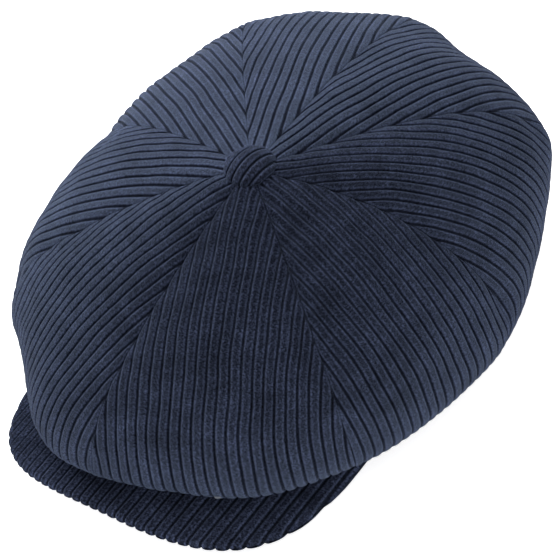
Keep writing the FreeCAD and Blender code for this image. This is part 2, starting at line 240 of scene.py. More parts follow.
def ring_point(seam):
    """The seam's point on the crown's widest ring."""
    degrees, radius, height = SEAM_RING[seam]
    turn = math.radians(degrees)
    return np.array([radius * math.sin(turn), RING_CENTRE_Y - radius * math.cos(turn), height])


def edge_angle(seam):
    """Angle on the oval lower edge at which the seam ends."""
    ring = ring_point(seam)
    half_width, half_length = edge_axes()
    return math.atan2(ring[0] / half_width, -ring[1] / half_length)


def top_seam_point(seam, u):
    """Point on a seam's upper part, from the apex (u = 0) to the widest ring (u = 1)."""
    ring = ring_point(seam)
    outward = np.sin(u * math.pi / 2.0)
    towards_back = (1.0 - math.cos(math.radians(SEAM_RING[seam][0]))) / 2.0
    power = SHOULDER_FRONT + (SHOULDER_BACK - SHOULDER_FRONT) * towards_back
    rise = np.sqrt(np.maximum(1.0 - outward ** power, 0.0))
    return stack(ring[0] * outward, APEX[1] + (ring[1] - APEX[1]) * outward,
                 ring[2] + (APEX[2] - ring[2]) * rise)


def top_gore_point(seams, u, v):
    """Point on a gore's upper part, which bulges between its two seams."""
    first = top_seam_point(seams[0], u)
    chord = top_seam_point(seams[1], u) - first
    middle = first + chord * v[..., None]
    outward = unit(stack(middle[..., 0], middle[..., 1] - RING_CENTRE_Y, 0.0))
    direction = unit(outward * u[..., None] + np.array([0.0, 0.0, 1.0]) * (1.0 - u[..., None]))
    length = np.linalg.norm(chord, axis=-1, keepdims=True)
    return middle + direction * GORE_BULGE * length * (4.0 * v * (1.0 - v))[..., None]


def gore_point(seams, u, v):
    """Point on a gore's face: u runs 0 to 1 down its top and 1 to 2 under to the rim, v across it."""
    top = top_gore_point(seams, np.minimum(u, 1.0), v)
    start = edge_angle(seams[0])
    sweep = (edge_angle(seams[1]) - start) % (2.0 * math.pi)
    edge = crown_edge_point(start + sweep * v)
    under = np.clip(u - 1.0, 0.0, 1.0) * math.pi / 2.0
    share = stack(1.0 - np.cos(under), 1.0 - np.cos(under), np.sin(under))
    return top + (edge - top) * share


def gore_normal(seams, u, v):
    step = 0.005
    below = gore_point(seams, np.minimum(u + step, 2.0), v)
    above = gore_point(seams, np.maximum(u - step, 0.001), v)
    after = gore_point(seams, u, np.minimum(v + step, 1.0))
    before = gore_point(seams, u, np.maximum(v - step, 0.0))
    return unit(np.cross(below - above, after - before))


def neighbours(index):
    names = list(SEAM_RING)
    return names[index % len(names)], names[(index + 1) % len(names)]


def shared_normal(index, u, v, to_seam):
    """A gore's outward normal, turned near a seam to the one it shares with the gore beyond."""
    own = gore_normal(neighbours(index), u, v)
    before = gore_normal(neighbours(index - 1), u, np.ones_like(v))
    after = gore_normal(neighbours(index + 1), u, np.zeros_like(v))
    mine = gore_normal(neighbours(index), u, np.round(v))
    seam = unit(mine + np.where((v < 0.5)[..., None], before, after))
    near = (1.0 - smoothstep(to_seam / 0.012))[..., None]
    return unit(own * (1.0 - near) + seam * near)


# Soft swells and dents in the crown's cloth: gore, u and v on it, reach down and across it, height
SWELLS = [
    ("front_right", 1.02, 0.72, 0.030, 0.030, 0.0046),
    ("front_right", 1.05, 0.26, 0.034, 0.024, -0.0034),
    ("front_right", 0.94, 0.00, 0.022, 0.014, 0.0016),
    ("front_left", 1.02, 0.62, 0.026, 0.030, 0.0042),
    ("front_right", 0.93, 1.00, 0.020, 0.014, -0.0022),
    ("right_front", 0.84, 0.96, 0.010, 0.007, -0.0024),
    ("left_front", 0.90, 1.00, 0.012, 0.009, -0.0028),
    ("left_front", 1.06, 0.95, 0.030, 0.026, 0.0032),
    ("back_left", 0.93, 0.60, 0.030, 0.024, -0.0036),
    ("back_left", 0.96, 0.98, 0.020, 0.016, 0.0024),
    ("back_left", 0.97, 0.00, 0.018, 0.018, 0.0028),
    ("left_back", 1.10, 0.55, 0.030, 0.030, -0.0024),
    ("left_back", 0.86, 0.98, 0.010, 0.009, -0.0022),
    ("right_back", 0.92, 0.50, 0.036, 0.034, -0.0030),
]


def settle(points, normals):
    """The crown's cloth as it has settled: low soft lumps, swells over the folds, and dents at seams."""
    above = smoothstep((points[:, 2] - 0.012) / 0.03)
    lumps = 0.0011 * noise_at(points, 0.045) + 0.0007 * noise_at(points, 0.019, 3.0)
    lumps = lumps + 0.0003 * noise_at(points, 0.008, 8.0)
    shift = lumps * above
    for name, u, v, length, width, height in SWELLS:
        seams = neighbours(GORE_NAMES.index(name))
        centre, below = gore_point(seams, np.array([u, u + 0.02]), np.array([v, v]))
        down = unit(below - centre)
        offset = points - centre
        lengthwise = offset @ down
        sideways = np.linalg.norm(offset - lengthwise[:, None] * down, axis=1)
        shift = shift + height * np.exp(-(lengthwise / length) ** 2 - (sideways / width) ** 2)
    return points + normals * shift[:, None]


# ---------------------------------------------------------------- meshes

def new_object(name, vertices, faces, material, fabric=None, nap=None):
    """Smooth mesh object. fabric is each vertex's place on the cloth, and nap the way its pile leans."""
    mesh = bpy.data.meshes.new(name)
    mesh.from_pydata([tuple(v) for v in vertices], [], faces)
    mesh.polygons.foreach_set("use_smooth", [True] * len(mesh.polygons))
    if fabric is not None:
        attribute = mesh.attributes.new("fabric", "FLOAT_VECTOR", "POINT")
        attribute.data.foreach_set("vector", np.asarray(fabric, np.float32).ravel())
    if nap is not None:
        normals = np.array([n.vector for n in mesh.vertex_normals])
        mesh.normals_split_custom_set_from_vertices(unit(normals + NAP_LEAN * nap))
    mesh.materials.append(material)
    made = bpy.data.objects.new(name, mesh)
    bpy.context.scene.collection.objects.link(made)
    return made


def without_repeats(corners):
    kept = []
    for corner in corners:
        if corner not in kept:
            kept.append(corner)
    return kept


def grid_faces(ids):
    """Faces over a grid of vertex numbers; where neighbours share a number, a face has fewer corners."""
    numbers = ids.tolist()
    faces = []
    for near, far in zip(numbers[:-1], numbers[1:]):
        for k in range(len(near) - 1):
            face = without_repeats((near[k], far[k], far[k + 1], near[k + 1]))
            if len(face) > 2:
                faces.append(face)
    return faces


def border(ids):
    """The grid's border as one loop of vertex numbers, in the direction of its faces."""
    loop = [*ids[:, 0], *ids[-1, :], *ids[::-1, -1], *ids[0, ::-1]]
    closed = [int(a) for a, b in zip(loop, loop[1:] + loop[:1]) if a != b]
    return closed


def closed_sheet(name, ids, outer, inner, material, fabric, nap=None):
    """A sheet with thickness: an outer and an inner face over one grid, joined round the border."""
    count = len(outer)
    faces = grid_faces(ids)
    back = [[corner + count for corner in reversed(face)] for face in faces]
    loop = border(ids)
    wall = [[q, p, p + count, q + count] for p, q in zip(loop, loop[1:] + loop[:1])]
    if nap is not None:
        nap = np.concatenate([nap, np.zeros_like(nap)])
    return new_object(name, np.concatenate([outer, inner]), faces + back + wall, material,
                      np.concatenate([fabric, fabric]), nap)


def closed_grid(name, ids, points, material, fabric):
    """Mesh over a grid of vertex numbers that closes on itself, turned so that its faces look outwards."""
    faces = [face for part in ids for face in grid_faces(part)]
    triangles = [(f[0], f[k], f[k + 1]) for f in faces for k in range(1, len(f) - 1)]
    volume = sum(float(np.dot(points[a], np.cross(points[b], points[c]))) for a, b, c in triangles)
    if volume < 0.0:
        faces = [face[::-1] for face in faces]
    return new_object(name, points, faces, material, fabric)


def wrapped(rows, columns, start=0, poles=False):
    """Vertex numbers of rings joined end to start; with poles, the first and last rings are one vertex."""
    ids = start + np.arange(rows * columns).reshape(rows, columns)
    if poles:
        ids = start + 1 + np.arange((rows - 2) * columns).reshape(rows - 2, columns)
        first = np.full((1, columns), start)
        last = np.full((1, columns), start + 1 + (rows - 2) * columns)
        ids = np.concatenate([first, ids, last])
    return np.concatenate([ids, ids[:, :1]], axis=1)


def wale_height(across):
    """How high the cord stands above its groove, 0 to 1, at a distance across the wales."""
    share = np.mod(across / WALE_PITCH + 0.5, 1.0)
    return np.interp(share, WALE_STEPS + (1.0,), WALE_PROFILE + (0.0,))


def lying(cord):
    """Share of the pile's lean: full on top of a wale, none on its walls, where it stands out sideways."""
    return smoothstep((cord - 0.62) / 0.22)[..., None]


def wale_columns(reach):
    """Positions across the wales, dense enough to draw each cord, as far as reach on both sides."""
    count = int(math.ceil(reach / WALE_PITCH)) + 1
    columns = [(k - 0.5 + step) * WALE_PITCH for k in range(-count, count + 1) for step in WALE_STEPS]
    return np.array([c for c in columns if abs(c) <= reach + WALE_PITCH])


# ---------------------------------------------------------------- gores

class GoreGrid:
    """Vertices of a gore: columns parallel to its centre line, rows from apex to rim, cut at the seams.

    For each vertex, t and s are its place across and down the flat cloth, u and v its place on the gore.
    The cloth drifts a little sideways, and puckers along its seams.
    """

    def __init__(self, index, columns, row_step):
        seams = neighbours(index)
        fine = np.linspace(APEX_START, 2.0, 600)
        centre_line = gore_point(seams, fine, np.full_like(fine, 0.5))
        run = np.concatenate([[0.0], np.cumsum(np.linalg.norm(np.diff(centre_line, axis=0), axis=1))])
        rows = np.linspace(0.0, run[-1], int(run[-1] / row_step) + 1)
        self.length = float(run[-1])
        self.width = 0.0
        self.area = 0.0
        self.ids = np.empty((len(rows), len(columns)), int)
        row_u = np.interp(rows, run, fine)
        across = np.linspace(0.0, 1.0, 61)
        u, v, t, s, to_seam = [], [], [], [], []
        for j, here in enumerate(row_u):
            line = gore_point(seams, np.full_like(across, here), across)
            reach = np.concatenate([[0.0], np.cumsum(np.linalg.norm(np.diff(line, axis=0), axis=1))])
            self.width = max(self.width, float(reach[-1]))
            self.area += float(reach[-1]) * float(rows[1])
            reach = reach - np.interp(0.5, across, reach)
            low = reach[0]
            high = reach[-1]
            margin = min(COLUMN_MARGIN, 0.2 * (high - low))
            inside = np.nonzero((columns > low + margin) & (columns < high - margin))[0]
            places = np.concatenate([[low], columns[inside], [high]])
            first = len(t)
            self.ids[j, :] = first
            self.ids[j, inside] = first + 1 + np.arange(len(inside))
            beyond = columns >= high - margin
            self.ids[j, beyond] = first + len(places) - 1
            t.extend(places)
            u.extend([here] * len(places))
            s.extend([rows[j]] * len(places))
            v.extend(np.interp(places, reach, across))
            to_seam.extend(np.minimum(places - low, high - places))
        self.u, self.v, self.t, self.s = (np.array(x) for x in (u, v, t, s))
        self.to_seam = np.array(to_seam)
        self.to_hem = rows[-1] - self.s
        base = gore_point(seams, self.u, self.v)
        below = gore_point(seams, np.minimum(self.u + 0.01, 2.0), self.v)
        above = gore_point(seams, np.maximum(self.u - 0.01, 0.0), self.v)
        self.down = unit(below - above)
        self.normals = shared_normal(index, self.u, self.v, self.to_seam)
        after = gore_point(seams, self.u, np.minimum(self.v + 0.01, 1.0))
        before = gore_point(seams, self.u, np.maximum(self.v - 0.01, 0.0))
        inside = smoothstep(self.to_seam / 0.010) * smoothstep(self.to_hem / 0.010)
        drift = DRIFT * noise_at(base, 0.022, 7.0) * inside
        pucker = PUCKER * noise_at(base, 0.010, 12.0) * (1.0 - smoothstep(self.to_seam / PUCKER_REACH))
        shift = unit(after - before) * drift[:, None] + self.normals * pucker[:, None]
        self.points = settle(base, self.normals) + shift


def widest(index):
    """A little over half the gore's greatest width."""
    seams = neighbours(index)
    return float(np.linalg.norm(ring_point(seams[1]) - ring_point(seams[0]))) * 0.56


def crown_gore(index, material):
    """One corduroy panel: its cords run parallel to its centre line and end in the seams."""
    grid = GoreGrid(index, wale_columns(widest(index)), ROW_STEP)
    cord = wale_height(grid.t)
    cord = cord + 0.5 * cord * (1.0 - cord) * noise_at(grid.points, 0.0016, 13.0)
    fullness = 1.0 + 0.12 * noise_at(grid.points, 0.012, 11.0)
    near_seam = smoothstep(grid.to_seam / SEAM_DITCH_WIDTH)
    near_hem = np.clip(grid.to_hem / HEM_ROUNDING, 0.0, 1.0)
    top = WALE_TOP - WALE_HEIGHT + WALE_HEIGHT * cord * fullness * (0.6 + 0.4 * near_seam)
    top = top - SEAM_DITCH * (1.0 - near_seam)
    hem_middle = -0.6 * CLOTH_DEPTH
    top = hem_middle + (top - hem_middle) * np.sqrt(1.0 - (1.0 - near_hem) ** 2)
    outer = grid.points + grid.normals * top[:, None]
    inner = grid.points - grid.normals * CLOTH_DEPTH
    # The third value is the cord's height, lowered near the seams; the material darkens low places into
    # painted shade
    fabric = np.stack([grid.t, grid.s, cord * (0.4 + 0.6 * near_seam)], axis=1)
    brushed = NAP_AT_HEM + NAP_GAIN_AT_APEX * (1.0 - grid.s / grid.length)[:, None] ** 2
    nap = grid.down * lying(cord) * brushed
    name = "corduroy_gore_" + GORE_NAMES[index]
    return closed_sheet(name, grid.ids, outer, inner, material, fabric, nap), grid


def lining_gore(index, material):
    """One satin lining panel, hanging a little slack inside the crown."""
    step = 0.0035
    count = int(widest(index) / step) + 1
    grid = GoreGrid(index, np.arange(-count, count + 1) * step, step)
    away = smoothstep(grid.to_seam / 0.015) * smoothstep(grid.to_hem / 0.02)
    slack = 0.0016 * (0.5 + 0.5 * noise_at(grid.points, 0.03, 5.0)) * away
    wrinkle = 0.0005 * (1.0 + noise_at(grid.points, 0.008, 9.0)) * away
    depth = LINING_DEPTH + slack + wrinkle
    outer = grid.points - grid.normals * depth[:, None]
    inner = grid.points - grid.normals * (depth + 0.0003)[:, None]
    fabric = np.stack([grid.t, grid.s, np.ones_like(grid.t)], axis=1)
    return closed_sheet("lining_panel_" + GORE_NAMES[index], grid.ids, outer, inner, material, fabric), grid


# ---------------------------------------------------------------- visor

def wing_tip():
    """Plan position of the wing's tip, where the visor's free edge meets the crown's seam."""
    half_width, half_length = edge_axes()
    angle = math.radians(VISOR_WING_ANGLE)
    return (half_width + VISOR_SEAM_GAP) * math.sin(angle), -(half_length + VISOR_SEAM_GAP) * math.cos(angle)


def visor_front(x):
    share = np.clip(np.abs(x) / VISOR_HALF_WIDTH, 0.0, 1.0)
    return VISOR_CORNER_Y - VISOR_REACH * np.cbrt(1.0 - share ** 3)


def visor_wing(x):
    """The wing's outer curve, from the visor's corner back to the wing's tip."""
    tip_x, tip_y = wing_tip()
    along = np.sqrt(np.clip((VISOR_HALF_WIDTH - np.abs(x)) / (VISOR_HALF_WIDTH - tip_x), 0.0, 1.0))
    return tip_y + (1.0 - along) ** 2 * (VISOR_CORNER_Y - tip_y)


def visor_back(x):
    half_width, half_length = edge_axes()
    share = np.clip(np.abs(x) / (half_width + VISOR_SEAM_GAP), 0.0, 1.0)
    opening = -(half_length + VISOR_SEAM_GAP) * np.sqrt(1.0 - share ** 2)
    return np.where(np.abs(x) <= wing_tip()[0], opening, visor_wing(x))


def visor_outline():
    """Evenly spaced points of the visor's free edge, and its outward direction at each."""
    turn = np.linspace(-math.pi / 2.0, math.pi / 2.0, 20001)
    front_x = VISOR_HALF_WIDTH * np.sign(turn) * np.abs(np.sin(turn)) ** (2.0 / 3.0)
    front = np.stack([front_x, visor_front(front_x)], axis=1)
    share = np.linspace(0.0, 1.0, 400)[1:]
    wing_x = VISOR_HALF_WIDTH - share ** 2 * (VISOR_HALF_WIDTH - wing_tip()[0])
    left = np.stack([wing_x, visor_wing(wing_x)], axis=1)
    points = np.concatenate([left[::-1] * [-1.0, 1.0], front, left])
    run = np.concatenate([[0.0], np.cumsum(np.linalg.norm(np.diff(points, axis=0), axis=1))])
    even = np.arange(0.0, run[-1], VISOR_OUTLINE_STEP)
    points = np.stack([np.interp(even, run, points[:, k]) for k in range(2)], axis=1)
    tangent = np.gradient(points, axis=0)
    return points, unit(np.stack([tangent[:, 1], -tangent[:, 0]], axis=1))


def visor_cover(name, side, material):
    """Corduroy cover of the visor's upper (side 1) or lower (side -1) face, rounded over the free edge."""
    ends = np.array(VISOR_END_STEPS)
    columns = wale_columns(VISOR_HALF_WIDTH)
    columns = columns[np.abs(columns) < VISOR_HALF_WIDTH - ends[-1] - 0.0004]
    sides = VISOR_HALF_WIDTH - ends
    columns = np.concatenate([-sides, columns, sides[::-1]])
    rounded = 0.04 * ends / ends[-1]
    share = np.concatenate([rounded, np.linspace(0.04, 0.96, 46)[1:-1], 1.0 - rounded[::-1]])
    outline, outward = visor_outline()
    points, directions = [], []
    for x in columns:
        front = float(visor_front(x))
        back = float(visor_back(x))
        y = front + (back - front) * share
        plan = np.stack([np.full_like(y, x), y], axis=1)
        gaps = np.linalg.norm(plan[:, None, :] - outline[None, :, :], axis=2)
        nearest = gaps.argmin(axis=1)
        distance = gaps.min(axis=1)
        lean = np.clip(1.0 - distance / VISOR_HALF_THICKNESS, 0.0, 1.0)
        upright = np.sqrt(1.0 - lean ** 2)
        slope = -2.0 * VISOR_DROOP * x / VISOR_HALF_WIDTH ** 2
        face = np.array([-slope, 0.0, 1.0]) / math.hypot(slope, 1.0) * side
        edge = np.concatenate([outward[nearest], np.zeros((len(y), 1))], axis=1)
        directions.append(unit(face * upright[:, None] + edge * lean[:, None]))
        z = visor_mid_height(x) + side * VISOR_HALF_THICKNESS * upright
        points.append(np.stack([plan[:, 0], y, z], axis=1))
    points = np.array(points)
    directions = np.array(directions)
    rows = len(share)
    ids = np.arange(len(columns) * rows).reshape(len(columns), rows)
    for k in (0, len(columns) - 1):
        ids[k, :] = ids[k, 0]
    flat = points.reshape(-1, 3)
    normals = directions.reshape(-1, 3)
    cord = wale_height(flat[:, 0] + 0.00012 * noise_at(flat, 0.02, 2.0))
    fullness = 1.0 + 0.10 * noise_at(flat, 0.012, 4.0)
    outer = flat + normals * (WALE_TOP - WALE_HEIGHT + WALE_HEIGHT * cord * fullness)[:, None]
    inner = flat - normals * VISOR_COVER
    fabric = np.stack([flat[:, 0], flat[:, 1], cord], axis=1)
    used = np.unique(ids)
    renumber = np.full(len(flat), -1)
    renumber[used] = np.arange(len(used))
    ids = renumber[ids]
    if side < 0:
        ids = ids[::-1]
    ids = ids[::-1]
    nap = np.array(VISOR_NAP) * lying(cord[used])
    depths = np.array([float(visor_back(x) - visor_front(x)) for x in columns])
    area = float(np.sum((depths[1:] + depths[:-1]) / 2.0 * np.diff(columns)))
    return closed_sheet(name, ids, outer[used], inner[used], material, fabric[used], nap), area


# ---------------------------------------------------------------- button

def button_profile(steps):
    """The button's face at even steps from its middle to its skirt: distance, radius, height, direction."""
    shoulder = BUTTON_RADIUS - BUTTON_EDGE
    rise = BUTTON_HIGH.z - BUTTON_LOW.z
    dome = (shoulder ** 2 + rise ** 2 - BUTTON_EDGE ** 2) / (2.0 * (rise - BUTTON_EDGE))
    join = math.asin(shoulder / (dome - BUTTON_EDGE))
    skirt_from = dome * join + BUTTON_EDGE * (math.pi / 2.0 - join)
    distance = np.linspace(0.0, skirt_from + BUTTON_SKIRT, steps)
    on_dome = np.minimum(distance / dome, join)
    on_edge = np.minimum(np.maximum(distance - dome * join, 0.0) / BUTTON_EDGE + join, math.pi / 2.0)
    down_skirt = np.maximum(distance - skirt_from, 0.0)
    edge = on_edge > join
    lean = np.where(edge, on_edge, on_dome)
    radius = np.where(edge, shoulder + BUTTON_EDGE * np.sin(lean), dome * np.sin(lean))
    height = np.where(edge, BUTTON_EDGE * np.cos(lean), rise - dome + dome * np.cos(lean))
    return distance, radius, BUTTON_LOW.z + height - down_skirt, np.sin(lean), np.cos(lean)


def button_cover(material):
    """Corduroy drawn over the button's dome, its cords running across it and down over its edge."""
    distance, radius, height, side, up = button_profile(BUTTON_RINGS)
    length = float(distance[-1])
    turn = np.linspace(0.0, 2.0 * math.pi, BUTTON_TURNS + 1)[:-1]
    middle_y = (BUTTON_LOW.y + BUTTON_HIGH.y) / 2.0
    out = stack(side[:, None] * np.cos(turn), side[:, None] * np.sin(turn), up[:, None])
    face = stack(radius[:, None] * np.cos(turn), middle_y + radius[:, None] * np.sin(turn), height[:, None])
    across = distance[:, None] * np.sin(turn - BUTTON_WALE_TURN)
    along = distance[:, None] * np.cos(turn - BUTTON_WALE_TURN)
    cord = wale_height(across + 0.5 * WALE_PITCH)
    foot = smoothstep((length - distance) / BUTTON_SKIRT)[:, None]
    proud = (WALE_TOP - WALE_HEIGHT + WALE_HEIGHT * cord) * foot - BUTTON_FOOT_TUCK * (1.0 - foot)
    outer = face + out * proud[..., None]
    inner = face - out * BUTTON_COVER
    fabric = stack(across, along, cord)
    points = np.concatenate([outer[:1, 0], outer[1:].reshape(-1, 3),
                             inner[:0:-1].reshape(-1, 3), inner[:1, 0]])
    cloth = np.concatenate([fabric[:1, 0], fabric[1:].reshape(-1, 3),
                            fabric[:0:-1].reshape(-1, 3), fabric[:1, 0]])
    ids = wrapped(2 * BUTTON_RINGS, BUTTON_TURNS, 0, True)
    return closed_grid("corduroy_button_cover", [ids], points, material, cloth), 2.0 * length


# ---------------------------------------------------------------- bands, labels and thread

def rim_lift(turn):
    return RIM_ARCH * np.maximum(np.cos(turn), 0.0) ** 2


def rim_point(turn, offset, height):
    """Point on a band round the opening, at an offset outside its inner face."""
    x = (OPENING_HALF_WIDTH + offset) * np.sin(turn)
    y = -(OPENING_HALF_LENGTH + offset) * np.cos(turn)
    return stack(x, y, height + rim_lift(turn))


def rim_run(turn):
    """Distance round the opening from its front to each turn of an even set."""
    points = rim_point(turn, 0.0, 0.0)
    return np.concatenate([[0.0], np.cumsum(np.linalg.norm(np.diff(points, axis=0), axis=1))])


def rim_strip(name, offset, thickness, low, high, wave, material):
    """Closed cloth band round the opening, with rounded edges and a slightly wavy upper part."""
    turn = np.linspace(0.0, 2.0 * math.pi, 481)
    run = rim_run(turn)
    turn = turn[:-1]
    rounded = np.linspace(0.0, 0.06, 4)
    rise = np.concatenate([rounded, np.linspace(0.06, 0.94, 20)[1:-1], 1.0 - rounded[::-1]])
    edge = np.minimum(rise, 1.0 - rise) * (high - low) / (thickness / 2.0)
    half = thickness / 2.0 * np.sqrt(np.clip(1.0 - (1.0 - np.minimum(edge, 1.0)) ** 2, 0.09, 1.0))
    section = np.concatenate([rise, rise[::-1]])
    reach = np.concatenate([-half, half[::-1]]) + thickness / 2.0
    heights = low + (high - low) * section
    base = rim_point(turn[:, None], offset, heights[None, :])
    waves = wave * noise_at(base.reshape(-1, 3), 0.03, 6.0).reshape(base.shape[:2])
    waves = waves * smoothstep((section - 0.35) / 0.6)[None, :]
    points = rim_point(turn[:, None], offset + reach[None, :] + waves, heights[None, :])
    fabric = stack(run[:-1, None], heights[None, :], 1.0)
    ids = wrapped(len(turn), len(section))
    ids = np.concatenate([ids, ids[:1]])
    piece = closed_grid(name, [ids], points.reshape(-1, 3), material, fabric.reshape(-1, 3))
    return piece, float(run[-1])


def threads(name, lines, radius, material):
    """Short sewn stitches, one for each (start, end, outward): fuller in the middle, sunk at both ends."""
    along = np.array([0.0, 0.02, 0.07, 0.16, 0.35, 0.65, 0.84, 0.93, 0.98, 1.0])
    full = np.sqrt(1.0 - np.abs(2.0 * along - 1.0) ** 6)
    sunk = np.abs(2.0 * along - 1.0) ** 4
    turn = np.linspace(0.0, 2.0 * math.pi, 11)[:-1]
    points, fabric, ids = [], [], []
    for start, end, outward in lines:
        lengthwise = unit(end - start)
        sideways = np.cross(outward, lengthwise)
        centre = start + (end - start) * along[:, None] - outward * (radius * 1.2 * sunk)[:, None]
        ring = sideways * np.cos(turn)[:, None] + outward * np.sin(turn)[:, None]
        tube = centre[:, None, :] + ring[None, :, :] * (radius * full)[:, None, None]
        place = stack(along[:, None] * np.linalg.norm(end - start), turn * radius, 1.0)
        ids.append(wrapped(len(along), len(turn), len(points), True))
        for made, rows in ((points, tube), (fabric, place)):
            made.extend([rows[0, 0], *rows[1:-1].reshape(-1, 3), rows[-1, 0]])
    return closed_grid(name, ids, np.array(points), material, np.array(fabric))


def band_stitching(material):
    """The row of stitches that holds the sweatband, just above its lower edge on the inner face."""
    half_width = OPENING_HALF_WIDTH - THREAD_RADIUS
    half_length = OPENING_HALF_LENGTH - THREAD_RADIUS
    pitch = STITCH_LENGTH + STITCH_GAP
    count = int(2.0 * math.pi * math.sqrt((half_width ** 2 + half_length ** 2) / 2.0) / pitch)
    half_turn = math.pi * STITCH_LENGTH / pitch / count
    lines = []
    for i in range(count):
        middle = 2.0 * math.pi * i / count
        start = rim_point(middle - half_turn, -0.4 * THREAD_RADIUS, STITCH_INSET)
        end = rim_point(middle + half_turn, -0.4 * THREAD_RADIUS, STITCH_INSET)
        inward = unit(np.array([-math.sin(middle), math.cos(middle), 0.0]))
        lines.append((start, end, inward))
    return threads("sweatband_row_of_stitches", lines, THREAD_RADIUS, material)


def crown_tack(material):
    """Three short stitches of pale thread on the fold of the gore beside the centre-front seam."""
    seams = neighbours(0)
    down = np.array([TACK_DOWN_GORE, TACK_DOWN_GORE, TACK_DOWN_GORE + 0.01])
    sideways = np.array([TACK_ACROSS_GORE, TACK_ACROSS_GORE + 0.01, TACK_ACROSS_GORE])
    outward = gore_normal(seams, down[:1], sideways[:1])
    base = gore_point(seams, down, sideways)
    across = unit(base[1] - base[0])
    along = unit(np.cross(outward[0], across))
    middle = settle(base[:1], outward)[0] + outward[0] * (WALE_TOP + 0.1 * THREAD_RADIUS)
    lines = []
    for i in range(TACK_STITCHES):
        centre = middle + along * (i - (TACK_STITCHES - 1) / 2.0) * TACK_SPACING
        lines.append((centre - across * TACK_LENGTH / 2.0, centre + across * TACK_LENGTH / 2.0, outward[0]))
    return threads("crown_fold_tack", lines, THREAD_RADIUS, material)


def inner_label(name, turn, width, height, foot, material):
    """Blank woven label on the sweatband, standing slightly off it between its sewn ends."""
    across = np.linspace(-0.5, 0.5, 41)
    up = np.linspace(0.0, 1.0, 31)
    speed = math.hypot(OPENING_HALF_WIDTH * math.cos(turn), OPENING_HALF_LENGTH * math.sin(turn))
    turns = turn - across * width / speed
    between_ends = (1.0 - (2.0 * across) ** 4)[:, None]
    between_edges = (0.4 + 0.6 * np.sin(math.pi * up))[None, :]
    off = LABEL_STAND_OFF + LABEL_BOW * between_ends * between_edges
    faces = [rim_point(turns[:, None], -(off + depth), foot + height * up[None, :]).reshape(-1, 3)
             for depth in (LABEL_THICKNESS, 0.0)]
    fabric = stack(across[:, None] * width, up[None, :] * height, 1.0).reshape(-1, 3)
    ids = np.arange(len(across) * len(up)).reshape(len(across), len(up))
    return closed_sheet("blank_" + name, ids, faces[0], faces[1], material, fabric)


# ---------------------------------------------------------------- materials

def add(tree, kind, inputs=None, **settings):
    made = tree.nodes.new("ShaderNode" + kind)
    for key, value in settings.items():
        setattr(made, key, value)
    for key, value in (inputs or {}).items():
        if isinstance(value, bpy.types.NodeSocket):
            tree.links.new(value, made.inputs[key])
        else:
            made.inputs[key].default_value = value
    return made


def new_material(name, **shader):
    """Material with one Principled shader; shader gives its constant inputs."""
    material = bpy.data.materials.new(name)
    material.use_nodes = True
    tree = material.node_tree
    principled = tree.nodes["Principled BSDF"]
    for key, value in shader.items():
        principled.inputs[key.replace("_", " ")].default_value = value
    return material, tree, principled


def noise_factor(tree, vector, scale, low, high, detail=2.0, roughness=0.6):
    """Noise stretched so that its middle range runs from low to high."""
    texture = add(tree, "TexNoise", {"Vector": vector, "Scale": scale, "Detail": detail,
                                     "Roughness": roughness})
    spread = add(tree, "MapRange", {"Value": texture.outputs["Fac"], "From Min": 0.3, "From Max": 0.7,
                                    "To Min": low, "To Max": high})
    return spread.outputs["Result"]


def product(tree, first, second):
    return add(tree, "Math", {0: first, 1: second}, operation="MULTIPLY").outputs["Value"]


def shade_of(tree, colour, brightness):
    """The colour times a brightness that varies over the surface."""
    scaled = add(tree, "VectorMath", {0: brightness, 1: colour}, operation="MULTIPLY")
    return scaled.outputs["Vector"]


def finish_material(material, tree, shader, colour, brightness, height, strength, distance):
    """Joins the varying colour and a bump to the shader."""
    tree.links.new(shade_of(tree, colour, brightness), shader.inputs["Base Color"])
    bump = add(tree, "Bump", {"Height": height, "Strength": strength, "Distance": distance})
    tree.links.new(bump.outputs["Normal"], shader.inputs["Normal"])
    return material


def cloth_place(tree, scale=(1.0, 1.0, 0.0), turn=0.0):
    """The place on the flat cloth, as it is and as turned and scaled."""
    fabric = add(tree, "Attribute", attribute_name="fabric").outputs["Vector"]
    turned = add(tree, "Mapping", {"Vector": fabric, "Rotation": (0.0, 0.0, turn)}).outputs["Vector"]
    return fabric, add(tree, "Mapping", {"Vector": turned, "Scale": scale}).outputs["Vector"]


